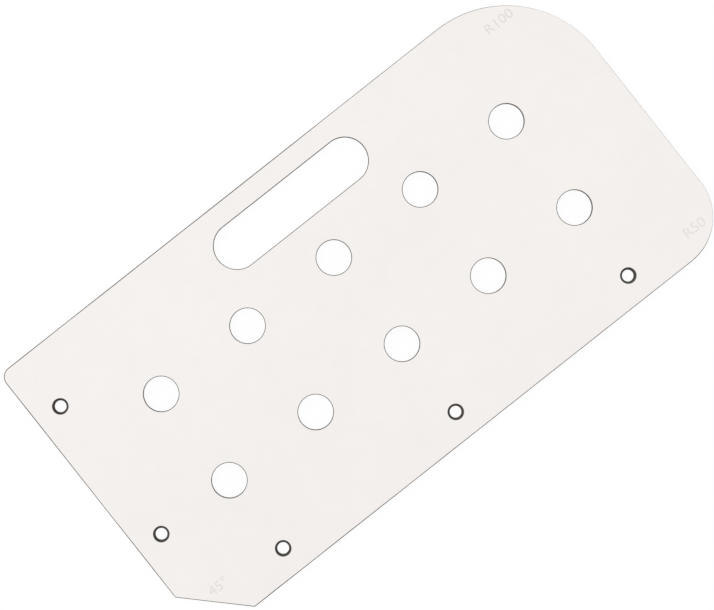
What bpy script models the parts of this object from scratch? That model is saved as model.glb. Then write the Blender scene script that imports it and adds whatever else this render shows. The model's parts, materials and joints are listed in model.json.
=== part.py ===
"""Router jig: a guide plate in one piece, cut from solid laminate board.

The plate lies flat on a worktop and its rim is the fence that a router follows. Each corner
is a template of its own: two round ones, a bevel at 45 degrees and a small eased one. Two rows
of clamp holes, a hand slot and five stepped peg holes go through it. Pegs dropped into the
stepped holes would stop the plate against the edge of the work.

Metres, +Z up. The origin is at the middle of the underside, X runs along the plate, from the
heel with the bevel to the nose with the two large radii, and +Y points to the hand slot.
"""

import math

import bmesh
import bpy

# Board
PLATE_LENGTH = 0.591
PLATE_WIDTH = 0.300
PLATE_THICKNESS = 0.012
ARRIS = 0.0006

# Corners of the rim
LARGE_CORNER_RADIUS = 0.100
SMALL_CORNER_RADIUS = 0.050
HEEL_CORNER_RADIUS = 0.010
BEVEL_LEG = 0.050

# Clamp holes, on a square grid about the middle of the plate
CLAMP_HOLE_DIAMETER = 0.031
CLAMP_HOLE_PITCH = 0.097
CLAMP_HOLE_COLUMNS = 5
CLAMP_HOLE_ROWS = 2

# Hand slot, parallel to the long edge
HAND_SLOT_LENGTH = 0.1624
HAND_SLOT_WIDTH = 0.0413
HAND_SLOT_BAR = 0.0198

# Peg holes, stepped so that a peg's head sinks in and its shank comes out below
PEG_HEAD_DIAMETER = 0.0135
PEG_SHANK_DIAMETER = 0.0104
PEG_LEDGE_THICKNESS = 0.006
PEG_FROM_EDGE = 0.025
HEEL_PEG_FROM_HAND_EDGE = 0.055

# Fineness of the round faces, and how far a cutter runs past the board
FACET_LENGTH = 0.0022
FEWEST_FACETS_PER_QUARTER = 8
MOST_FACETS_PER_QUARTER = 24
OVERCUT = 0.002

# Finishes
DECOR_COLOUR = (0.905, 0.871, 0.847, 1.0)
DECOR_ROUGHNESS = 0.42
CORE_COLOUR = (0.060, 0.050, 0.045, 1.0)
CORE_ROUGHNESS = 0.50


def clear_scene():
    """Remove whatever the file holds, so that the model starts from nothing."""
    for item in list(bpy.data.objects):
        bpy.data.objects.remove(item, do_unlink=True)


def plain_material(name, colour, roughness):
    """A Principled material with one colour and no metal in it."""
    material = bpy.data.materials.new(name)
    material.use_nodes = True
    shader = material.node_tree.nodes["Principled BSDF"]
    shader.inputs["Base Color"].default_value = colour
    shader.inputs["Roughness"].default_value = roughness
    shader.inputs["Metallic"].default_value = 0.0
    material.diffuse_color = colour
    return material


def facets_per_quarter(radius):
    """How many flat faces a quarter turn of this radius is made of."""
    wanted = math.ceil(radius * math.pi / 2.0 / FACET_LENGTH)
    return max(FEWEST_FACETS_PER_QUARTER, min(wanted, MOST_FACETS_PER_QUARTER))


def arc(centre, radius, start, sweep, facets):
    """Points on a circular arc, both ends included, anticlockwise from the start angle."""
    points = []
    for step in range(facets + 1):
        angle = start + sweep * step / facets
        points.append((centre[0] + radius * math.cos(angle), centre[1] + radius * math.sin(angle)))
    return points


def round_corner(side_x, side_y, radius, start, inset):
    """One rounded corner of the rim, tangent to both edges, drawn in by the inset."""
    centre = (side_x * (PLATE_LENGTH / 2.0 - radius), side_y * (PLATE_WIDTH / 2.0 - radius))
    return arc(centre, radius - inset, start, math.pi / 2.0, facets_per_quarter(radius))


def bevel_corner(inset):
    """The corner cut off at 45 degrees, with its three edges drawn in by the inset."""
    leg = BEVEL_LEG - inset * (2.0 - math.sqrt(2.0))
    corner_x = inset - PLATE_LENGTH / 2.0
    corner_y = inset - PLATE_WIDTH / 2.0
    return [(corner_x, corner_y + leg), (corner_x + leg, corner_y)]


def rim_outline(inset):
    """The whole rim, anticlockwise from above, drawn in by the inset."""
    return (
        round_corner(1.0, -1.0, SMALL_CORNER_RADIUS, -math.pi / 2.0, inset)
        + round_corner(1.0, 1.0, LARGE_CORNER_RADIUS, 0.0, inset)
        + round_corner(-1.0, 1.0, HEEL_CORNER_RADIUS, math.pi / 2.0, inset)
        + bevel_corner(inset)
    )


def slot_outline(growth):
    """The hand slot's outline about its own middle, two half circles joined by straights."""
    radius = HAND_SLOT_WIDTH / 2.0
    reach = HAND_SLOT_LENGTH / 2.0 - radius
    facets = 2 * facets_per_quarter(radius)
    nose_end = arc((reach, 0.0), radius + growth, -math.pi / 2.0, math.pi, facets)
    heel_end = arc((-reach, 0.0), radius + growth, math.pi / 2.0, math.pi, facets)
    return nose_end + heel_end


def through_profile():
    """Growth and height up a plain opening: flared by the arris at both faces."""
    flare = ARRIS + OVERCUT
    return [
        (flare, -OVERCUT),
        (0.0, ARRIS),
        (0.0, PLATE_THICKNESS - ARRIS),
        (flare, PLATE_THICKNESS + OVERCUT),
    ]


def clamp_hole_profile():
    """Radius and height up a clamp hole."""
    radius = CLAMP_HOLE_DIAMETER / 2.0
    return [(radius + growth, height) for growth, height in through_profile()]


def peg_hole_profile():
    """Radius and height up a peg hole: shank bore, ledge, then the wider seat for the head."""
    shank = PEG_SHANK_DIAMETER / 2.0
    head = PEG_HEAD_DIAMETER / 2.0
    below, lower_arris, upper_arris, above = through_profile()
    return [
        (shank + below[0], below[1]),
        (shank, lower_arris[1]),
        (shank, PEG_LEDGE_THICKNESS),
        (head, PEG_LEDGE_THICKNESS),
        (head, upper_arris[1]),
        (head + above[0], above[1]),
    ]


def finished_mesh(bm, name, material):
    """Turn a bmesh into a mesh with its finish and smooth round faces."""
    mesh = bpy.data.meshes.new(name)
    bm.to_mesh(mesh)
    bm.free()
    mesh.materials.append(material)
    mesh.shade_smooth()
    mesh.set_sharp_from_angle(angle=math.radians(30.0))
    return mesh


def lofted_mesh(name, sections, material):
    """A closed solid through matching outlines, each given with its height."""
    bm = bmesh.new()
    rings = []
    for outline, height in sections:
        rings.append([bm.verts.new((x, y, height)) for x, y in outline])
    for lower, upper in zip(rings, rings[1:]):
        for index, corner in enumerate(lower):
            following = (index + 1) % len(lower)
            bm.faces.new((corner, lower[following], upper[following], upper[index]))
    bm.faces.new(list(reversed(rings[0])))
    bm.faces.new(rings[-1])
    return finished_mesh(bm, name, material)


def turned_mesh(name, profile, material):
    """A closed solid turned about Z from radius and height pairs, bottom to top."""
    widest = max(radius for radius, _ in profile)
    bm = bmesh.new()
    points = [(0.0, profile[0][1])] + profile + [(0.0, profile[-1][1])]
    verts = [bm.verts.new((radius, 0.0, height)) for radius, height in points]
    edges = [bm.edges.new(pair) for pair in zip(verts, verts[1:])]
    bmesh.ops.spin(
        bm,
        geom=verts + edges,
        cent=(0.0, 0.0, 0.0),
        axis=(0.0, 0.0, 1.0),
        angle=2.0 * math.pi,
        steps=4 * facets_per_quarter(widest),
    )
    bmesh.ops.remove_doubles(bm, verts=bm.verts, dist=0.000001)
    bmesh.ops.recalc_face_normals(bm, faces=bm.faces)
    return finished_mesh(bm, name, material)


def clamp_columns():
    """X of each column of clamp holes, from heel to nose."""
    first = -CLAMP_HOLE_PITCH * (CLAMP_HOLE_COLUMNS - 1) / 2.0
    return [first + CLAMP_HOLE_PITCH * column for column in range(CLAMP_HOLE_COLUMNS)]


def clamp_rows():
    """Y of each row of clamp holes, from the peg edge to the hand edge."""
    first = -CLAMP_HOLE_PITCH * (CLAMP_HOLE_ROWS - 1) / 2.0
    return [first + CLAMP_HOLE_PITCH * row for row in range(CLAMP_HOLE_ROWS)]


def clamp_places():
    """The middle of every clamp hole."""
    return [(x, y) for y in clamp_rows() for x in clamp_columns()]


def peg_places():
    """The middle of every peg hole: three along the peg edge and two along the heel."""
    edge_y = PEG_FROM_EDGE - PLATE_WIDTH / 2.0
    heel_x = PEG_FROM_EDGE - PLATE_LENGTH / 2.0
    along_edge = [(x, edge_y) for x in clamp_columns()[::2]]
    along_heel = [
        (heel_x, clamp_rows()[0]),
        (heel_x, PLATE_WIDTH / 2.0 - HEEL_PEG_FROM_HAND_EDGE),
    ]
    return along_edge + along_heel


def slot_place():
    """The middle of the hand slot, set in from the long edge by its bar."""
    return (0.0, PLATE_WIDTH / 2.0 - HAND_SLOT_BAR - HAND_SLOT_WIDTH / 2.0)


def make_plate(decor, core):
    """The board cut to its outline, with the arris taken off and the core bare all round."""
    sections = [
        (rim_outline(ARRIS), 0.0),
        (rim_outline(0.0), ARRIS),
        (rim_outline(0.0), PLATE_THICKNESS - ARRIS),
        (rim_outline(ARRIS), PLATE_THICKNESS),
    ]
    mesh = lofted_mesh("jig_plate", sections, decor)
    mesh.materials.append(core)
    for face in mesh.polygons:
        if abs(face.normal.z) < 0.99:
            face.material_index = 1
    plate = bpy.data.objects.new("jig_plate", mesh)
    bpy.context.scene.collection.objects.link(plate)
    return plate


def add_cutters(group, name, mesh, places):
    """One cutter for each place, all with the same mesh, in the group that will cut."""
    for number, (x, y) in enumerate(places, start=1):
        cutter = bpy.data.objects.new(f"{name}_{number}", mesh)
        cutter.location = (x, y, 0.0)
        cutter.hide_render = True
        cutter.display_type = "WIRE"
        group.objects.link(cutter)


def make_cutters(core):
    """The clamp holes, the peg holes and the hand slot as solids to take away."""
    clamp_mesh = turned_mesh("clamp_hole_cutter", clamp_hole_profile(), core)
    peg_mesh = turned_mesh("peg_hole_cutter", peg_hole_profile(), core)
    slot_sections = [(slot_outline(growth), height) for growth, height in through_profile()]
    slot_mesh = lofted_mesh("hand_slot_cutter", slot_sections, core)
    group = bpy.data.collections.new("opening_cutters")
    bpy.context.scene.collection.children.link(group)
    add_cutters(group, "clamp_hole_cutter", clamp_mesh, clamp_places())
    add_cutters(group, "peg_hole_cutter", peg_mesh, peg_places())
    add_cutters(group, "hand_slot_cutter", slot_mesh, [slot_place()])
    return group


def cut_openings(plate, group):
    """Take every opening out of the plate with one Boolean over the whole group."""
    cut = plate.modifiers.new("openings", "BOOLEAN")
    cut.operation = "DIFFERENCE"
    cut.solver = "EXACT"
    cut.operand_type = "COLLECTION"
    cut.collection = group
    cut.material_mode = "TRANSFER"


def main():
    """Build the jig."""
    clear_scene()
    decor = plain_material("decor_laminate", DECOR_COLOUR, DECOR_ROUGHNESS)
    core = plain_material("laminate_core", CORE_COLOUR, CORE_ROUGHNESS)
    cut_openings(make_plate(decor, core), make_cutters(core))


main()
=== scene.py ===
"""Router jig: the fine shape of the guide plate, its finishes, the stage and the camera.

The plate is solid laminate board, pale decor faces on a dark core, so every sawn or bored edge
shows the core. It lies flat and is seen from straight above. Metres, +Z up; +X runs from the
bevelled heel to the round nose, and +Y points to the hand slot.
"""

import json
import math

import bmesh
import bpy
from mathutils import Matrix, Vector, noise

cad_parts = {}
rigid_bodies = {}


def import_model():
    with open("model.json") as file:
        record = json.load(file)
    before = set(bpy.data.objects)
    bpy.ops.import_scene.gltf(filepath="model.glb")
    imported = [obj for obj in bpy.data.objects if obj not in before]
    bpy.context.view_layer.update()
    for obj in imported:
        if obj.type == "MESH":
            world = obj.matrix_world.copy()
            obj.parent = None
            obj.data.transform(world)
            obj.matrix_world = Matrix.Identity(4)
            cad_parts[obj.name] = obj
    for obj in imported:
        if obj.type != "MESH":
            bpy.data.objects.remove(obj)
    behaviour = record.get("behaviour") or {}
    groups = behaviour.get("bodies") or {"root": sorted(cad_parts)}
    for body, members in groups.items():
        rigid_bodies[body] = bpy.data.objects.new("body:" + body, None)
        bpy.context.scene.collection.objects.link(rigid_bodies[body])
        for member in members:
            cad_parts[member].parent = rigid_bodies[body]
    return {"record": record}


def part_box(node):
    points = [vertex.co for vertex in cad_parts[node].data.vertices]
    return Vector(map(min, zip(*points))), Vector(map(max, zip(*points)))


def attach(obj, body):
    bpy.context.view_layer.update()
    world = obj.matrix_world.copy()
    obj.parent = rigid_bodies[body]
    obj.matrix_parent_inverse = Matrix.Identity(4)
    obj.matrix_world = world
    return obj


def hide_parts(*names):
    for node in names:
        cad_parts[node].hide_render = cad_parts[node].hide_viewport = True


bl_info = {
    "name": "Router Jig",
    "version": (1, 0, 0),
    "blender": (4, 5, 0),
    "location": "3D Viewport > Sidebar > Router Jig",
    "description": "Cuts the jig plate from laminate board, finishes it and sets the stage",
    "category": "Object",
}

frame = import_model()

PLATE_LOW, PLATE_HIGH = (Vector(corner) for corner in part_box("jig_plate"))
PLATE_SIZE = PLATE_HIGH - PLATE_LOW
OPENINGS = frame["record"]["physics"]["openings"]
CUTTERS = "opening_cutters"

# How far a cutter runs past the board, the least height of a flare, and what counts as one point
OVERCUT = 0.002
LEAST_FLARE = 0.0001
WELD_DISTANCE = 0.000001

# How many flat faces a quarter turn of the rim and a full turn of each opening have
CORNER_FACETS = 72
CLAMP_FACETS = 96
PEG_SHANK_FACETS = 64
PEG_SEAT_FACETS = 80
SLOT_FACETS = 144

# Where two faces meet at more than this, their edge stays sharp
SHARP_ANGLE = math.radians(25.0)

# A face counts as level when its normal has at least this much of Z in it
LEVEL_NORMAL = 0.99

# Bearings from the plate's middle in degrees, each with the share of the arris that is left there
ARRIS_SHARES = (
    (-180.0, 1.18),
    (-162.0, 1.12),
    (-157.0, 1.10),
    (-150.0, 1.12),
    (-146.0, 1.18),
    (-75.0, 1.17),
    (-31.0, 0.98),
    (-25.0, 0.43),
    (-19.0, 0.38),
    (10.0, 0.40),
    (17.0, 0.28),
    (23.0, 0.42),
    (38.0, 0.87),
    (62.0, 1.04),
    (80.0, 1.25),
    (106.0, 1.32),
    (131.0, 1.30),
    (158.0, 1.22),
    (180.0, 1.18),
)

# The waver of the arris: noise cells in a metre, the slice of noise that is read, and its gain
WAVER_PER_METRE = 22.0
WAVER_SLICE = 3.7
WAVER_GAIN = 1.6

# The size marks: name, figures, the corner's side in X and Y, and the way in from both edges
SIZE_MARKS = (
    ("large_radius_mark", "R100", (1.0, 1.0), (0.0524, 0.0284)),
    ("small_radius_mark", "R50", (1.0, -1.0), (0.0295, 0.0218)),
    ("bevel_angle_mark", "45°", (-1.0, -1.0), (0.0358, 0.0338)),
)

# Height of a capital as a share of the font's size
CAPITAL_SHARE = 0.72

# Cells of press grain in a metre of decor and of etched mark, and the height of one core sheet
DECOR_GRAIN = 1500.0
ETCHED_GRAIN = 2600.0
LAYER_PITCH = 0.00022

# The photograph: where the plate's middle lies in it, how it is turned and how far off it is
PHOTO_WIDTH = 714
PHOTO_HEIGHT = 610
PLATE_MIDDLE_PX = (367.95, 300.7)
NADIR_PX = (302.5, 300.5)
PIXELS_PER_METRE = 1134.1
LENGTH_AXIS_TURN = math.radians(38.31)
CAMERA_HEIGHT = 4.65
CAMERA_REACH = 50.0
SENSOR_WIDTH = 36.0

# The ground: half its width, and how far it lies under the plate so that the two never touch
GROUND_REACH = 6.0
GROUND_GAP = 0.0002

# How white the ground is to the camera, and how much of that is light that a shadow can take away
GROUND_WHITE = 1.012
SHADOW_SHARE = 0.05

# The light: strength of the white surroundings, and each softbox's name, place and power
SURROUNDINGS = 0.578
SOFTBOX_WIDTH = 3.2
SOFTBOXES = (
    ("key_softbox", (-1.8, 2.6, 4.4), 110.0),
    ("fill_softbox", (3.2, -1.6, 3.6), 52.0),
)


class JigSizes(bpy.types.PropertyGroup):
    """Sizes of the plate that the frame does not give."""

    arris: bpy.props.FloatProperty(
        name="Arris",
        description="Width of the small chamfer along every edge",
        default=0.00065,
        min=0.0,
        subtype="DISTANCE",
        unit="LENGTH",
    )
    arris_waver: bpy.props.FloatProperty(
        name="Arris Waver",
        description="Share by which the hand-eased arris varies along the rim",
        default=0.12,
        min=0.0,
        max=1.0,
        subtype="FACTOR",
    )
    decor_thickness: bpy.props.FloatProperty(
        name="Decor Thickness",
        description="Thickness of the pale decor sheet on both faces",
        default=0.00006,
        min=0.0,
        subtype="DISTANCE",
        unit="LENGTH",
    )
    large_radius: bpy.props.FloatProperty(
        name="Large Corner Radius",
        description="Radius of the nose corner beside the hand slot",
        default=0.100,
        subtype="DISTANCE",
        unit="LENGTH",
    )
    small_radius: bpy.props.FloatProperty(
        name="Small Corner Radius",
        description="Radius of the nose corner beside the peg holes",
        default=0.050,
        subtype="DISTANCE",
        unit="LENGTH",
    )
    heel_radius: bpy.props.FloatProperty(
        name="Heel Corner Radius",
        description="Radius of the eased heel corner",
        default=0.010,
        subtype="DISTANCE",
        unit="LENGTH",
    )
    bevel_leg: bpy.props.FloatProperty(
        name="Bevel Leg",
        description="Length that the 45 degree bevel takes off each edge",
        default=0.050,
        subtype="DISTANCE",
        unit="LENGTH",
    )
    clamp_diameter: bpy.props.FloatProperty(
        name="Clamp Hole Diameter",
        description="Diameter of the holes for clamps",
        default=0.031,
        subtype="DISTANCE",
        unit="LENGTH",
    )
    slot_length: bpy.props.FloatProperty(
        name="Hand Slot Length",
        description="Length of the hand slot from end to end",
        default=0.1624,
        subtype="DISTANCE",
        unit="LENGTH",
    )
    slot_width: bpy.props.FloatProperty(
        name="Hand Slot Width",
        description="Width of the hand slot",
        default=0.0413,
        subtype="DISTANCE",
        unit="LENGTH",
    )
    peg_head_diameter: bpy.props.FloatProperty(
        name="Peg Head Diameter",
        description="Diameter of the seat that a peg's head sinks into",
        default=0.0135,
        subtype="DISTANCE",
        unit="LENGTH",
    )
    peg_shank_diameter: bpy.props.FloatProperty(
        name="Peg Shank Diameter",
        description="Diameter of the bore under the seat",
        default=0.0104,
        subtype="DISTANCE",
        unit="LENGTH",
    )
    peg_ledge: bpy.props.FloatProperty(
        name="Peg Ledge",
        description="Thickness of board left under the seat",
        default=0.006,
        subtype="DISTANCE",
        unit="LENGTH",
    )
    mark_depth: bpy.props.FloatProperty(
        name="Mark Depth",
        description="Depth of the size marks, which stay within the decor sheet",
        default=0.00005,
        subtype="DISTANCE",
        unit="LENGTH",
    )
    mark_height: bpy.props.FloatProperty(
        name="Mark Height",
        description="Height of the figures of the size marks",
        default=0.0092,
        subtype="DISTANCE",
        unit="LENGTH",
    )
    mark_stretch: bpy.props.FloatProperty(
        name="Mark Stretch",
        description="How much wider than the font the figures of the size marks are",
        default=1.1,
        min=0.5,
        subtype="FACTOR",
    )
    rim_step: bpy.props.FloatProperty(
        name="Rim Step",
        description="Longest stretch of straight rim between two points",
        default=0.004,
        min=0.001,
        subtype="DISTANCE",
        unit="LENGTH",
    )


class JigColours(bpy.types.PropertyGroup):
    """Colours of the board and of the ground it lies on, in linear light."""

    decor: bpy.props.FloatVectorProperty(
        name="Decor",
        description="Warm off-white of the two faces",
        default=(0.905, 0.871, 0.847),
        subtype="COLOR",
    )
    core: bpy.props.FloatVectorProperty(
        name="Core",
        description="Dark resin-bound paper of the core",
        default=(0.064, 0.056, 0.0475),
        subtype="COLOR",
    )
    mark: bpy.props.FloatVectorProperty(
        name="Mark",
        description="Pale grey of the etched size marks",
        default=(0.77, 0.75, 0.735),
        subtype="COLOR",
    )
    floor: bpy.props.FloatVectorProperty(
        name="Floor",
        description="White ground under the plate",
        default=(0.90, 0.90, 0.90),
        subtype="COLOR",
    )


def link(tree, source, target):
    """Join an output to an input."""
    tree.links.new(source, target)


def feed(tree, socket, value):
    """Give an input either a plain value or the output of another node."""
    if isinstance(value, bpy.types.NodeSocket):
        link(tree, value, socket)
    else:
        socket.default_value = value


def maths(tree, operation, first, second=0.0):
    """One Math node, with values or outputs for its two inputs."""
    node = tree.nodes.new("ShaderNodeMath")
    node.operation = operation
    feed(tree, node.inputs[0], first)
    feed(tree, node.inputs[1], second)
    return node.outputs[0]


def choose(tree, test, if_false, if_true):
    """One Switch node between two lengths."""
    node = tree.nodes.new("GeometryNodeSwitch")
    node.input_type = "FLOAT"
    feed(tree, node.inputs["Switch"], test)
    feed(tree, node.inputs["False"], if_false)
    feed(tree, node.inputs["True"], if_true)
    return node.outputs["Output"]


def group_tree(name, kind, inputs, outputs):
    """An empty node group with its named sockets, and its input and output nodes."""
    tree = bpy.data.node_groups.new(name, kind)
    for socket_name, socket_type, default in inputs:
        socket = tree.interface.new_socket(socket_name, in_out="INPUT", socket_type=socket_type)
        if default is not None:
            socket.default_value = default
    for socket_name, socket_type in outputs:
        tree.interface.new_socket(socket_name, in_out="OUTPUT", socket_type=socket_type)
    return tree, tree.nodes.new("NodeGroupInput").outputs, tree.nodes.new("NodeGroupOutput").inputs


def set_inputs(modifier, values):
    """Give a Geometry Nodes modifier its inputs by name."""
    identifiers = {
        item.name: item.identifier
        for item in modifier.node_group.interface.items_tree
        if item.item_type == "SOCKET" and item.in_out == "INPUT"
    }
    for name, value in values.items():
        modifier[identifiers[name]] = value


def apply_tree(item, tree, values):
    """Run a Geometry Nodes tree on an object and keep the result as its plain mesh."""
    modifier = item.modifiers.new(tree.name, "NODES")
    modifier.node_group = tree
    set_inputs(modifier, values)
    graph = bpy.context.evaluated_depsgraph_get()
    mesh = bpy.data.meshes.new_from_object(item.evaluated_get(graph))
    item.modifiers.remove(modifier)
    item.data = mesh


def bored_holes_tree():
    """Cutters for like openings: one cutter at every point, flared at its ends by the arris."""
    length = "NodeSocketFloat"
    inputs = [
        ("Places", "NodeSocketGeometry", None),
        ("Radius", length, 0.01),
        ("Half Straight", length, 0.0),
        ("Bottom", length, 0.0),
        ("Top", length, 0.012),
        ("Lower Arris", length, 0.0),
        ("Upper Arris", length, 0.0),
        ("Lower Overcut", length, 0.0),
        ("Upper Overcut", length, 0.0),
        ("Facets", "NodeSocketInt", 96),
        ("Material", "NodeSocketMaterial", None),
    ]
    tree, given, result = group_tree(
        "Bored holes", "GeometryNodeTree", inputs, [("Cutters", "NodeSocketGeometry")]
    )

    # Four rings, at 0.5 and 1.5 above and below zero: the outer two become the flared ends
    drum = tree.nodes.new("GeometryNodeMeshCylinder")
    drum.fill_type = "NGON"
    link(tree, given["Facets"], drum.inputs["Vertices"])
    drum.inputs["Side Segments"].default_value = 3
    drum.inputs["Radius"].default_value = 1.0
    drum.inputs["Depth"].default_value = 3.0

    place = tree.nodes.new("ShaderNodeSeparateXYZ")
    link(tree, tree.nodes.new("GeometryNodeInputPosition").outputs[0], place.inputs[0])
    x, y, z = place.outputs
    outer = maths(tree, "GREATER_THAN", maths(tree, "ABSOLUTE", z), 1.0)
    upper = maths(tree, "GREATER_THAN", z, 0.0)

    upper_growth = maths(tree, "ADD", given["Upper Arris"], given["Upper Overcut"])
    lower_growth = maths(tree, "ADD", given["Lower Arris"], given["Lower Overcut"])
    growth = maths(tree, "MULTIPLY", outer, choose(tree, upper, lower_growth, upper_growth))
    radius = maths(tree, "ADD", given["Radius"], growth)

    upper_end = maths(tree, "ADD", given["Top"], given["Upper Overcut"])
    upper_land = maths(tree, "SUBTRACT", given["Top"], given["Upper Arris"])
    lower_end = maths(tree, "SUBTRACT", given["Bottom"], given["Lower Overcut"])
    lower_rise = maths(tree, "MAXIMUM", given["Lower Arris"], LEAST_FLARE)
    lower_land = maths(tree, "ADD", given["Bottom"], lower_rise)
    height = choose(
        tree,
        upper,
        choose(tree, outer, lower_land, lower_end),
        choose(tree, outer, upper_land, upper_end),
    )

    spread = maths(tree, "MULTIPLY", maths(tree, "SIGN", x), given["Half Straight"])
    moved = tree.nodes.new("ShaderNodeCombineXYZ")
    link(tree, maths(tree, "ADD", maths(tree, "MULTIPLY", x, radius), spread), moved.inputs["X"])
    link(tree, maths(tree, "MULTIPLY", y, radius), moved.inputs["Y"])
    link(tree, height, moved.inputs["Z"])
    shaped = tree.nodes.new("GeometryNodeSetPosition")
    link(tree, drum.outputs["Mesh"], shaped.inputs["Geometry"])
    link(tree, moved.outputs[0], shaped.inputs["Position"])

    copies = tree.nodes.new("GeometryNodeInstanceOnPoints")
    link(tree, given["Places"], copies.inputs["Points"])
    link(tree, shaped.outputs["Geometry"], copies.inputs["Instance"])
    real = tree.nodes.new("GeometryNodeRealizeInstances")
    link(tree, copies.outputs["Instances"], real.inputs["Geometry"])
    finish = tree.nodes.new("GeometryNodeSetMaterial")
    link(tree, real.outputs["Geometry"], finish.inputs["Geometry"])
    link(tree, given["Material"], finish.inputs["Material"])
    link(tree, finish.outputs["Geometry"], result["Cutters"])
    return tree


def level_faces(tree):
    """The height of each face, and whether it lies level."""
    place = tree.nodes.new("ShaderNodeSeparateXYZ")
    link(tree, tree.nodes.new("GeometryNodeInputPosition").outputs[0], place.inputs[0])
    normal = tree.nodes.new("ShaderNodeSeparateXYZ")
    link(tree, tree.nodes.new("GeometryNodeInputNormal").outputs[0], normal.inputs[0])
    steepness = maths(tree, "ABSOLUTE", normal.outputs["Z"])
    return place.outputs["Z"], maths(tree, "GREATER_THAN", steepness, LEVEL_NORMAL)


def cut_plate_tree():
    """Takes the cutters out of the board and gives each face the finish of where it lies."""
    inputs = [
        ("Board", "NodeSocketGeometry", None),
        ("Openings", "NodeSocketCollection", None),
        ("Thickness", "NodeSocketFloat", 0.012),
        ("Mark Depth", "NodeSocketFloat", 0.00005),
        ("Decor", "NodeSocketMaterial", None),
        ("Core", "NodeSocketMaterial", None),
        ("Etched", "NodeSocketMaterial", None),
    ]
    tree, given, result = group_tree(
        "Cut plate", "GeometryNodeTree", inputs, [("Plate", "NodeSocketGeometry")]
    )
    cutters = tree.nodes.new("GeometryNodeCollectionInfo")
    link(tree, given["Openings"], cutters.inputs["Collection"])
    cutters.inputs["Separate Children"].default_value = True
    cut = tree.nodes.new("GeometryNodeMeshBoolean")
    cut.operation = "DIFFERENCE"
    cut.solver = "EXACT"
    link(tree, given["Board"], cut.inputs["Mesh 1"])
    link(tree, cutters.outputs[0], cut.inputs["Mesh 2"])
    real = tree.nodes.new("GeometryNodeRealizeInstances")
    link(tree, cut.outputs["Mesh"], real.inputs["Geometry"])

    height, level = level_faces(tree)
    half_mark = maths(tree, "MULTIPLY", given["Mark Depth"], 0.5)
    nearly_top = maths(tree, "SUBTRACT", given["Thickness"], half_mark)
    well_below_top = maths(tree, "MULTIPLY", given["Thickness"], 0.9)
    on_top = maths(tree, "GREATER_THAN", height, nearly_top)
    underneath = maths(tree, "LESS_THAN", height, WELD_DISTANCE)
    near_top = maths(tree, "GREATER_THAN", height, well_below_top)
    outside = maths(tree, "MAXIMUM", on_top, underneath)
    sunk_in = maths(tree, "SUBTRACT", near_top, on_top)
    areas = [
        ("Core", None),
        ("Decor", maths(tree, "MULTIPLY", level, outside)),
        ("Etched", maths(tree, "MULTIPLY", level, sunk_in)),
    ]
    shape = real.outputs["Geometry"]
    for material, area in areas:
        finish = tree.nodes.new("GeometryNodeSetMaterial")
        link(tree, shape, finish.inputs["Geometry"])
        link(tree, given[material], finish.inputs["Material"])
        if area is not None:
            link(tree, area, finish.inputs["Selection"])
        shape = finish.outputs["Geometry"]
    link(tree, shape, result["Plate"])
    return tree


def noise_texture(tree, vector, scale, detail=2.0, roughness=0.5):
    """A Noise Texture's factor, with its scale as a value or an output."""
    node = tree.nodes.new("ShaderNodeTexNoise")
    link(tree, vector, node.inputs["Vector"])
    feed(tree, node.inputs["Scale"], scale)
    node.inputs["Detail"].default_value = detail
    node.inputs["Roughness"].default_value = roughness
    return node.outputs["Fac"]


def stretched(tree, vector, scale):
    """A vector scaled by its own amount on each axis."""
    node = tree.nodes.new("ShaderNodeVectorMath")
    node.operation = "MULTIPLY"
    link(tree, vector, node.inputs[0])
    node.inputs[1].default_value = scale
    return node.outputs[0]


def spread_range(tree, value, span, result):
    """A Map Range node that takes a span of values to the result's two ends and clamps the rest."""
    node = tree.nodes.new("ShaderNodeMapRange")
    link(tree, value, node.inputs["Value"])
    node.inputs["From Min"].default_value, node.inputs["From Max"].default_value = span
    node.inputs["To Min"].default_value, node.inputs["To Max"].default_value = result
    return node.outputs["Result"]


def press_grain_group():
    """The fine pebbled grain that a press plate leaves on laminate, with a slow mottle."""
    tree, given, result = group_tree(
        "Press grain",
        "ShaderNodeTree",
        [("Vector", "NodeSocketVector", None), ("Grain Scale", "NodeSocketFloat", DECOR_GRAIN)],
        [("Height", "NodeSocketFloat"), ("Mottle", "NodeSocketFloat")],
    )
    pebble = tree.nodes.new("ShaderNodeTexVoronoi")
    pebble.feature = "SMOOTH_F1"
    link(tree, given["Vector"], pebble.inputs["Vector"])
    link(tree, given["Grain Scale"], pebble.inputs["Scale"])
    fine_scale = maths(tree, "MULTIPLY", given["Grain Scale"], 2.3)
    fine = noise_texture(tree, given["Vector"], fine_scale)
    fine_relief = maths(tree, "MULTIPLY", fine, 0.4)
    link(tree, maths(tree, "ADD", pebble.outputs["Distance"], fine_relief), result["Height"])
    slow = noise_texture(tree, given["Vector"], scale=60.0, detail=4.0, roughness=0.6)
    broad = noise_texture(tree, given["Vector"], scale=7.0)
    both = maths(tree, "ADD", slow, broad)
    link(tree, maths(tree, "MULTIPLY", both, 0.5), result["Mottle"])
    return tree


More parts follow.
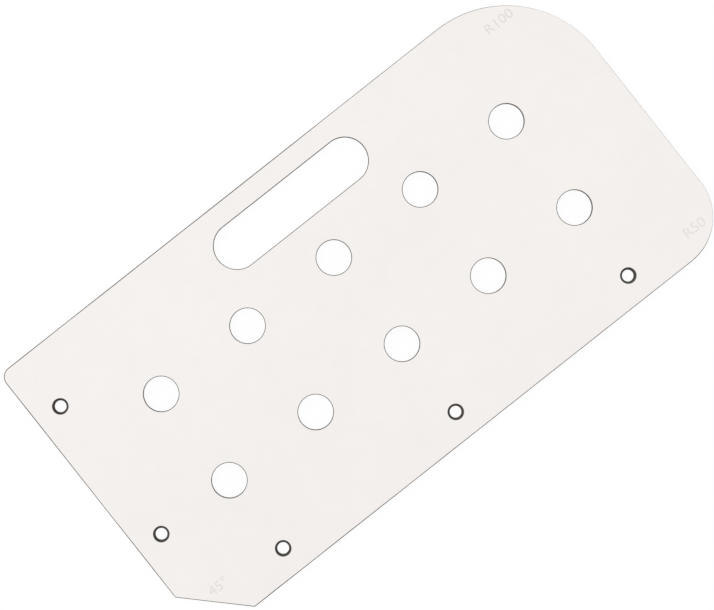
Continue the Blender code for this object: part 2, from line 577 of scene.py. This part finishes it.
def cut_edge_group():
    """The section of the board: decor sheet by height, paper layers and the cutter's chatter."""
    tree, given, result = group_tree(
        "Cut edge",
        "ShaderNodeTree",
        [
            ("Vector", "NodeSocketVector", None),
            ("Thickness", "NodeSocketFloat", 0.012),
            ("Decor Thickness", "NodeSocketFloat", 0.00006),
            ("Layer Pitch", "NodeSocketFloat", LAYER_PITCH),
        ],
        [
            ("Decor", "NodeSocketFloat"),
            ("Layers", "NodeSocketFloat"),
            ("Chatter", "NodeSocketFloat"),
        ],
    )
    place = tree.nodes.new("ShaderNodeSeparateXYZ")
    link(tree, given["Vector"], place.inputs[0])
    height = place.outputs["Z"]
    from_top = maths(tree, "SUBTRACT", given["Thickness"], height)
    depth = maths(tree, "MINIMUM", from_top, height)
    decor = maths(tree, "LESS_THAN", depth, given["Decor Thickness"])
    link(tree, decor, result["Decor"])

    # Single sheets that wander a little, in bands of darker and paler ones
    drift = noise_texture(tree, given["Vector"], scale=45.0, detail=3.0, roughness=0.6)
    wander = maths(tree, "MULTIPLY", maths(tree, "SUBTRACT", drift, 0.5), 0.0004)
    layer = maths(tree, "DIVIDE", maths(tree, "ADD", height, wander), given["Layer Pitch"])
    wave = maths(tree, "SINE", maths(tree, "MULTIPLY", layer, 2.0 * math.pi))
    sheets = spread_range(tree, wave, span=(-1.0, 1.0), result=(0.0, 0.4))
    flat = stretched(tree, given["Vector"], (0.02, 0.02, 1.0))
    stack = noise_texture(tree, flat, scale=1300.0)
    bands = spread_range(tree, stack, span=(0.36, 0.64), result=(0.0, 0.6))
    link(tree, maths(tree, "ADD", sheets, bands), result["Layers"])

    # The cutter's marks run from face to face
    sweep = stretched(tree, given["Vector"], (1.0, 1.0, 0.03))
    chatter = noise_texture(tree, sweep, scale=900.0, detail=3.0, roughness=0.6)
    link(tree, chatter, result["Chatter"])
    return tree


def placed_group(tree, group, vector, values):
    """Put a shared effect in a material, with that material's own values."""
    node = tree.nodes.new("ShaderNodeGroup")
    node.node_tree = group
    link(tree, vector, node.inputs["Vector"])
    for name, value in values.items():
        node.inputs[name].default_value = value
    return node.outputs


def new_material(name):
    """An empty node material with its shader and its object coordinates."""
    material = bpy.data.materials.new(name)
    material.use_nodes = True
    tree = material.node_tree
    shader = tree.nodes["Principled BSDF"]
    vector = tree.nodes.new("ShaderNodeTexCoord").outputs["Object"]
    return material, tree, shader, vector


def mix_colours(tree, factor, first, second):
    """A colour between two, each a colour value or an output."""
    node = tree.nodes.new("ShaderNodeMix")
    node.data_type = "RGBA"
    feed(tree, node.inputs["Factor"], factor)
    for socket, colour in ((node.inputs[6], first), (node.inputs[7], second)):
        feed(tree, socket, colour)
    return node.outputs[2]


def add_bump(tree, shader, height, distance, strength):
    """Relief too fine for the mesh."""
    bump = tree.nodes.new("ShaderNodeBump")
    bump.inputs["Strength"].default_value = strength
    bump.inputs["Distance"].default_value = distance
    link(tree, height, bump.inputs["Height"])
    link(tree, bump.outputs["Normal"], shader.inputs["Normal"])


def with_alpha(colour, share=1.0):
    """A colour property as the four numbers of a colour socket, scaled by a share."""
    return (colour[0] * share, colour[1] * share, colour[2] * share, 1.0)


def decor_material(colours, grain):
    """Pale decor laminate with the press plate's satin grain."""
    material, tree, shader, vector = new_material("decor_laminate")
    effect = placed_group(tree, grain, vector, {"Grain Scale": DECOR_GRAIN})
    tone = spread_range(tree, effect["Mottle"], span=(0.35, 0.65), result=(0.0, 1.0))
    dull = with_alpha(colours.decor, 0.985)
    bright = with_alpha(colours.decor, 1.01)
    link(tree, mix_colours(tree, tone, dull, bright), shader.inputs["Base Color"])
    satin = spread_range(tree, effect["Mottle"], span=(0.3, 0.7), result=(0.38, 0.46))
    link(tree, satin, shader.inputs["Roughness"])
    add_bump(tree, shader, effect["Height"], distance=0.00002, strength=0.5)
    return material


def core_material(colours, sizes, edge):
    """The sawn section: a decor line at each face and a dark, layered core between them."""
    material, tree, shader, vector = new_material("laminate_core")
    effect = placed_group(
        tree,
        edge,
        vector,
        {
            "Thickness": PLATE_SIZE.z,
            "Decor Thickness": sizes.decor_thickness,
            "Layer Pitch": LAYER_PITCH,
        },
    )
    dark_sheet = with_alpha(colours.core, 0.72)
    pale_sheet = with_alpha(colours.core, 1.4)
    layered = mix_colours(tree, effect["Layers"], dark_sheet, pale_sheet)
    scuffed = with_alpha(colours.core, 2.2)
    scuffs = spread_range(tree, effect["Chatter"], span=(0.45, 0.7), result=(0.0, 0.5))
    streaked = mix_colours(tree, scuffs, layered, scuffed)
    colour = mix_colours(tree, effect["Decor"], streaked, with_alpha(colours.decor))
    link(tree, colour, shader.inputs["Base Color"])
    sawn = spread_range(tree, effect["Chatter"], span=(0.3, 0.7), result=(0.42, 0.60))
    link(tree, sawn, shader.inputs["Roughness"])
    add_bump(tree, shader, effect["Chatter"], distance=0.00004, strength=0.6)
    return material


def etched_material(colours, grain):
    """The floor of a size mark: the decor roughened and greyed."""
    material, tree, shader, vector = new_material("etched_mark")
    effect = placed_group(tree, grain, vector, {"Grain Scale": ETCHED_GRAIN})
    tone = spread_range(tree, effect["Mottle"], span=(0.35, 0.65), result=(0.0, 1.0))
    dull = with_alpha(colours.mark, 0.94)
    bright = with_alpha(colours.mark, 1.04)
    link(tree, mix_colours(tree, tone, dull, bright), shader.inputs["Base Color"])
    shader.inputs["Roughness"].default_value = 0.75
    add_bump(tree, shader, effect["Height"], distance=0.00003, strength=0.8)
    return material


def core_finish(context):
    """The core's material, made when it is first asked for."""
    if "laminate_core" in bpy.data.materials:
        return bpy.data.materials["laminate_core"]
    scene = context.scene
    return core_material(scene.router_jig_colours, scene.router_jig_sizes, cut_edge_group())


def rim_corners(sizes):
    """The rim's arcs and bevel, anticlockwise, each point with its unit step inwards."""
    half = PLATE_SIZE / 2.0
    middle = (PLATE_LOW + PLATE_HIGH) / 2.0
    points = []
    corners = (
        (1.0, -1.0, sizes.small_radius, -0.5 * math.pi),
        (1.0, 1.0, sizes.large_radius, 0.0),
        (-1.0, 1.0, sizes.heel_radius, 0.5 * math.pi),
    )
    for side_x, side_y, radius, start in corners:
        centre = Vector((middle.x + side_x * (half.x - radius), middle.y + side_y * (half.y - radius)))
        for step in range(CORNER_FACETS + 1):
            angle = start + 0.5 * math.pi * step / CORNER_FACETS
            outwards = Vector((math.cos(angle), math.sin(angle)))
            points.append((centre + outwards * radius, -outwards))
    heel = Vector((PLATE_LOW.x, PLATE_LOW.y))
    diagonal = Vector((math.sqrt(0.5), math.sqrt(0.5)))
    for leg, edge_inwards in (
        (Vector((0.0, sizes.bevel_leg)), Vector((1.0, 0.0))),
        (Vector((sizes.bevel_leg, 0.0)), Vector((0.0, 1.0))),
    ):
        inwards = (diagonal + edge_inwards) / (1.0 + diagonal.dot(edge_inwards))
        points.append((heel + leg, inwards))
    return points


def rim_path(sizes):
    """The whole rim: the corners, with points added along the straights between them."""
    corners = rim_corners(sizes)
    path = []
    for index, (start, inwards) in enumerate(corners):
        end = corners[(index + 1) % len(corners)][0]
        path.append((start, inwards))
        run = end - start
        pieces = math.ceil(run.length / sizes.rim_step)
        square_in = Vector((-run.y, run.x)).normalized()
        for piece in range(1, pieces):
            path.append((start + run * (piece / pieces), square_in))
    return path


def smooth_step(value):
    """Zero to one with level ends."""
    return value * value * (3.0 - 2.0 * value)


def rim_arris(place, sizes):
    """The hand-eased arris: it wavers along the rim and all but runs out at the nose."""
    bearing = math.degrees(math.atan2(place.y, place.x))
    share = ARRIS_SHARES[-1][1]
    for (start, share_there), (end, share_next) in zip(ARRIS_SHARES, ARRIS_SHARES[1:]):
        if start <= bearing <= end:
            ease = smooth_step((bearing - start) / (end - start))
            share = share_there + (share_next - share_there) * ease
    spot = Vector((place.x * WAVER_PER_METRE, place.y * WAVER_PER_METRE, WAVER_SLICE))
    waver = WAVER_GAIN * sizes.arris_waver * noise.noise(spot)
    return sizes.arris * share * (1.0 + waver)


def make_board(sizes):
    """The board sawn to its outline, with the arris along both faces."""
    path = rim_path(sizes)
    bm = bmesh.new()
    rings = []
    for face, sign in ((PLATE_LOW.z, 1.0), (PLATE_HIGH.z, -1.0)):
        drawn_in = []
        on_rim = []
        for place, inwards in path:
            width = rim_arris(place, sizes)
            inner = place + inwards * width
            drawn_in.append(bm.verts.new((inner.x, inner.y, face)))
            on_rim.append(bm.verts.new((place.x, place.y, face + sign * width)))
        rings.extend([drawn_in, on_rim] if sign > 0.0 else [on_rim, drawn_in])
    for lower, upper in zip(rings, rings[1:]):
        for index, corner in enumerate(lower):
            following = (index + 1) % len(lower)
            bm.faces.new((corner, lower[following], upper[following], upper[index]))
    bm.faces.new(list(reversed(rings[0])))
    bm.faces.new(rings[-1])
    mesh = bpy.data.meshes.new("jig_plate_finish")
    bm.to_mesh(mesh)
    bm.free()
    board = bpy.data.objects.new("jig_plate_finish", mesh)
    bpy.context.scene.collection.objects.link(board)
    return board


def opening_middles(prefix):
    """The middle of each opening that the record states under this name."""
    boxes = [opening["box_m"] for opening in OPENINGS if opening["name"].startswith(prefix)]
    return [(Vector(low) + Vector(high)) / 2.0 for low, high in boxes]


def cutters_collection():
    """The collection that everything to be cut away is kept in."""
    if CUTTERS not in bpy.data.collections:
        group = bpy.data.collections.new(CUTTERS)
        bpy.context.scene.collection.children.link(group)
    return bpy.data.collections[CUTTERS]


def add_cutter(name, mesh):
    """An object to be cut away from the board."""
    cutter = bpy.data.objects.new(name, mesh)
    cutter.hide_render = True
    cutter.display_type = "WIRE"
    cutters_collection().objects.link(cutter)
    return cutter


def bore(name, middles, material, **sizes):
    """Cutters of one kind at their places, with the sizes named after the tree's inputs."""
    tree = bpy.data.node_groups.get("Bored holes") or bored_holes_tree()
    mesh = bpy.data.meshes.new(name)
    mesh.from_pydata([(middle.x, middle.y, 0.0) for middle in middles], [], [])
    values = {socket.replace("_", " ").title(): value for socket, value in sizes.items()}
    values["Material"] = material
    apply_tree(add_cutter(name, mesh), tree, values)


class ROUTERJIG_OT_saw_board(bpy.types.Operator):
    """Saw the board to the jig's outline"""

    bl_idname = "router_jig.saw_board"
    bl_label = "Saw Board"

    def execute(self, context):
        make_board(context.scene.router_jig_sizes)
        return {"FINISHED"}


class ROUTERJIG_OT_bore_clamp_holes(bpy.types.Operator):
    """Bore the two rows of clamp holes"""

    bl_idname = "router_jig.bore_clamp_holes"
    bl_label = "Bore Clamp Holes"

    def execute(self, context):
        sizes = context.scene.router_jig_sizes
        bore(
            "clamp_holes",
            opening_middles("clamp_hole"),
            core_finish(context),
            radius=sizes.clamp_diameter / 2.0,
            top=PLATE_SIZE.z,
            lower_arris=sizes.arris,
            upper_arris=sizes.arris,
            lower_overcut=OVERCUT,
            upper_overcut=OVERCUT,
            facets=CLAMP_FACETS,
        )
        return {"FINISHED"}


class ROUTERJIG_OT_bore_peg_holes(bpy.types.Operator):
    """Bore the stepped peg holes, shank first and then the seat for the head"""

    bl_idname = "router_jig.bore_peg_holes"
    bl_label = "Bore Peg Holes"

    def execute(self, context):
        sizes = context.scene.router_jig_sizes
        middles = opening_middles("peg_hole")
        bore(
            "peg_shanks",
            middles,
            core_finish(context),
            radius=sizes.peg_shank_diameter / 2.0,
            top=sizes.peg_ledge + OVERCUT,
            lower_arris=sizes.arris,
            lower_overcut=OVERCUT,
            facets=PEG_SHANK_FACETS,
        )
        bore(
            "peg_seats",
            middles,
            core_finish(context),
            radius=sizes.peg_head_diameter / 2.0,
            bottom=sizes.peg_ledge,
            top=PLATE_SIZE.z,
            upper_arris=sizes.arris,
            upper_overcut=OVERCUT,
            facets=PEG_SEAT_FACETS,
        )
        return {"FINISHED"}


class ROUTERJIG_OT_rout_hand_slot(bpy.types.Operator):
    """Rout the hand slot with its round ends"""

    bl_idname = "router_jig.rout_hand_slot"
    bl_label = "Rout Hand Slot"

    def execute(self, context):
        sizes = context.scene.router_jig_sizes
        bore(
            "hand_slot",
            opening_middles("hand_slot"),
            core_finish(context),
            radius=sizes.slot_width / 2.0,
            half_straight=(sizes.slot_length - sizes.slot_width) / 2.0,
            top=PLATE_SIZE.z,
            lower_arris=sizes.arris,
            upper_arris=sizes.arris,
            lower_overcut=OVERCUT,
            upper_overcut=OVERCUT,
            facets=SLOT_FACETS,
        )
        return {"FINISHED"}


def mark_cutter(name, text, middle, sizes):
    """A size mark as a solid that stands from the mark's floor to above the plate."""
    curve = bpy.data.curves.new(name, "FONT")
    curve.body = text
    curve.size = sizes.mark_height / CAPITAL_SHARE
    curve.align_x = "CENTER"
    curve.align_y = "CENTER"

    # Any height will do, since both ends are moved to where they belong
    curve.extrude = 0.5
    source = bpy.data.objects.new(name, curve)
    bpy.context.scene.collection.objects.link(source)
    graph = bpy.context.evaluated_depsgraph_get()
    mesh = bpy.data.meshes.new_from_object(source.evaluated_get(graph))
    bpy.data.objects.remove(source, do_unlink=True)
    low = PLATE_HIGH.z - sizes.mark_depth
    high = PLATE_HIGH.z + OVERCUT
    for vertex in mesh.vertices:
        vertex.co.x = vertex.co.x * sizes.mark_stretch + middle[0]
        vertex.co.y = vertex.co.y + middle[1]
        vertex.co.z = high if vertex.co.z > 0.0 else low
    bm = bmesh.new()
    bm.from_mesh(mesh)
    bmesh.ops.remove_doubles(bm, verts=bm.verts, dist=WELD_DISTANCE)
    bmesh.ops.recalc_face_normals(bm, faces=bm.faces)
    bm.to_mesh(mesh)
    bm.free()
    mesh.materials.clear()
    add_cutter(name, mesh)


class ROUTERJIG_OT_etch_marks(bpy.types.Operator):
    """Etch the radius of each round nose corner and the angle of the bevel"""

    bl_idname = "router_jig.etch_marks"
    bl_label = "Etch Marks"

    def execute(self, context):
        for name, figures, side, way_in in SIZE_MARKS:
            edge_x = PLATE_HIGH.x if side[0] > 0.0 else PLATE_LOW.x
            edge_y = PLATE_HIGH.y if side[1] > 0.0 else PLATE_LOW.y
            middle = (edge_x - side[0] * way_in[0], edge_y - side[1] * way_in[1])
            mark_cutter(name, figures, middle, context.scene.router_jig_sizes)
        return {"FINISHED"}


class ROUTERJIG_OT_finish_plate(bpy.types.Operator):
    """Cut the openings and marks out of the board and give every face its finish"""

    bl_idname = "router_jig.finish_plate"
    bl_label = "Finish Plate"

    def execute(self, context):
        sizes = context.scene.router_jig_sizes
        colours = context.scene.router_jig_colours
        grain = press_grain_group()
        plate = bpy.data.objects["jig_plate_finish"]
        values = {
            "Openings": cutters_collection(),
            "Thickness": PLATE_SIZE.z,
            "Mark Depth": sizes.mark_depth,
            "Decor": decor_material(colours, grain),
            "Core": core_finish(context),
            "Etched": etched_material(colours, grain),
        }
        apply_tree(plate, cut_plate_tree(), values)
        for cutter in list(cutters_collection().objects):
            bpy.data.objects.remove(cutter, do_unlink=True)
        bpy.data.collections.remove(cutters_collection())
        plate.data.shade_smooth()
        plate.data.set_sharp_from_angle(angle=SHARP_ANGLE)
        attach(plate, "root")
        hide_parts("jig_plate")
        return {"FINISHED"}


def seen_directly(tree):
    """One for light that reaches the camera straight, off gloss or through glass, else zero."""
    path = tree.nodes.new("ShaderNodeLightPath").outputs
    by_gloss = maths(tree, "MAXIMUM", path["Is Glossy Ray"], path["Is Transmission Ray"])
    return maths(tree, "MAXIMUM", path["Is Camera Ray"], by_gloss)


def floor_material(colours):
    """White ground: lit like any other, but nearly all its own white where the camera sees it."""
    material, tree, shader, _ = new_material("white_ground")
    seen = seen_directly(tree)
    lit = mix_colours(tree, seen, with_alpha(colours.floor), with_alpha(colours.floor, SHADOW_SHARE))
    link(tree, lit, shader.inputs["Base Color"])
    shader.inputs["Roughness"].default_value = 1.0
    shader.inputs["Specular IOR Level"].default_value = 0.0
    shader.inputs["Emission Color"].default_value = (1.0, 1.0, 1.0, 1.0)
    glow = maths(tree, "MULTIPLY", seen, GROUND_WHITE - SHADOW_SHARE)
    link(tree, glow, shader.inputs["Emission Strength"])
    return material


def add_floor(colours):
    """A wide white ground just under the plate."""
    mesh = bpy.data.meshes.new("ground")
    sides = ((-1.0, -1.0), (1.0, -1.0), (1.0, 1.0), (-1.0, 1.0))
    level = PLATE_LOW.z - GROUND_GAP
    corners = [(x * GROUND_REACH, y * GROUND_REACH, level) for x, y in sides]
    mesh.from_pydata(corners, [], [(0, 1, 2, 3)])
    mesh.materials.append(floor_material(colours))
    ground = bpy.data.objects.new("ground", mesh)
    bpy.context.scene.collection.objects.link(ground)


def add_softbox(name, place, power):
    """A square area lamp aimed at the plate."""
    lamp = bpy.data.lights.new(name, "AREA")
    lamp.shape = "SQUARE"
    lamp.size = SOFTBOX_WIDTH
    lamp.energy = power
    item = bpy.data.objects.new(name, lamp)
    item.location = place
    item.rotation_euler = Vector(place).to_track_quat("Z", "Y").to_euler()
    bpy.context.scene.collection.objects.link(item)


def set_world():
    """Even white surroundings, a full white where the camera sees them."""
    world = bpy.data.worlds.new("studio")
    world.use_nodes = True
    bpy.context.scene.world = world
    tree = world.node_tree
    background = tree.nodes["Background"]
    background.inputs["Color"].default_value = (1.0, 1.0, 1.0, 1.0)
    seen = seen_directly(tree)
    level = spread_range(tree, seen, span=(0.0, 1.0), result=(SURROUNDINGS, 1.0))
    link(tree, level, background.inputs["Strength"])


def photo_to_plate(pixel):
    """The point of the plate's top face under a pixel of the photograph."""
    right = (pixel[0] - PLATE_MIDDLE_PX[0]) / PIXELS_PER_METRE
    up = (PLATE_MIDDLE_PX[1] - pixel[1]) / PIXELS_PER_METRE
    turn = Matrix.Rotation(-LENGTH_AXIS_TURN, 2)
    spot = turn @ Vector((right, up))
    return Vector((spot.x, spot.y, PLATE_HIGH.z))


def add_camera():
    """A long lens high above the plate, turned so that the plate lies aslant in the view."""
    data = bpy.data.cameras.new("camera")
    data.sensor_width = SENSOR_WIDTH
    data.lens = SENSOR_WIDTH * PIXELS_PER_METRE * CAMERA_HEIGHT / PHOTO_WIDTH
    data.clip_end = CAMERA_REACH
    camera = bpy.data.objects.new("camera", data)
    place = photo_to_plate(NADIR_PX) + Vector((0.0, 0.0, CAMERA_HEIGHT))
    target = photo_to_plate((PHOTO_WIDTH / 2.0, PHOTO_HEIGHT / 2.0))
    back = (place - target).normalized()
    photo_up = Vector((math.sin(LENGTH_AXIS_TURN), math.cos(LENGTH_AXIS_TURN), 0.0))
    right = photo_up.cross(back).normalized()
    up = back.cross(right)
    turn = Matrix((right, up, back)).transposed().to_4x4()
    camera.matrix_world = Matrix.Translation(place) @ turn
    bpy.context.scene.collection.objects.link(camera)
    bpy.context.scene.camera = camera


class ROUTERJIG_OT_set_stage(bpy.types.Operator):
    """Lay the ground, hang the soft light and place the camera"""

    bl_idname = "router_jig.set_stage"
    bl_label = "Set Stage"

    def execute(self, context):
        add_floor(context.scene.router_jig_colours)
        set_world()
        for name, place, power in SOFTBOXES:
            add_softbox(name, place, power)
        add_camera()
        context.scene.view_settings.view_transform = "Standard"
        return {"FINISHED"}


class ROUTERJIG_PT_sidebar(bpy.types.Panel):
    """The jig's steps, sizes and colours in the sidebar"""

    bl_idname = "ROUTERJIG_PT_sidebar"
    bl_label = "Router Jig"
    bl_space_type = "VIEW_3D"
    bl_region_type = "UI"
    bl_category = "Router Jig"

    def draw(self, context):
        for step in STEPS:
            self.layout.operator(step.bl_idname)
        for group in (context.scene.router_jig_sizes, context.scene.router_jig_colours):
            for name in group.__annotations__:
                self.layout.prop(group, name)


STEPS = (
    ROUTERJIG_OT_saw_board,
    ROUTERJIG_OT_bore_clamp_holes,
    ROUTERJIG_OT_bore_peg_holes,
    ROUTERJIG_OT_rout_hand_slot,
    ROUTERJIG_OT_etch_marks,
    ROUTERJIG_OT_finish_plate,
    ROUTERJIG_OT_set_stage,
)
CLASSES = (JigSizes, JigColours) + STEPS + (ROUTERJIG_PT_sidebar,)


def register():
    """Make the classes known and give the scene its sizes and colours."""
    for item in CLASSES:
        bpy.utils.register_class(item)
    bpy.types.Scene.router_jig_sizes = bpy.props.PointerProperty(type=JigSizes)
    bpy.types.Scene.router_jig_colours = bpy.props.PointerProperty(type=JigColours)


def unregister():
    """Take away what register added."""
    del bpy.types.Scene.router_jig_colours
    del bpy.types.Scene.router_jig_sizes
    for item in reversed(CLASSES):
        bpy.utils.unregister_class(item)


def main():
    """Run every step in order."""
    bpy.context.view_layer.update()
    register()
    bpy.ops.router_jig.saw_board()
    bpy.ops.router_jig.bore_clamp_holes()
    bpy.ops.router_jig.bore_peg_holes()
    bpy.ops.router_jig.rout_hand_slot()
    bpy.ops.router_jig.etch_marks()
    bpy.ops.router_jig.finish_plate()
    bpy.ops.router_jig.set_stage()


if __name__ == "__main__":
    main()
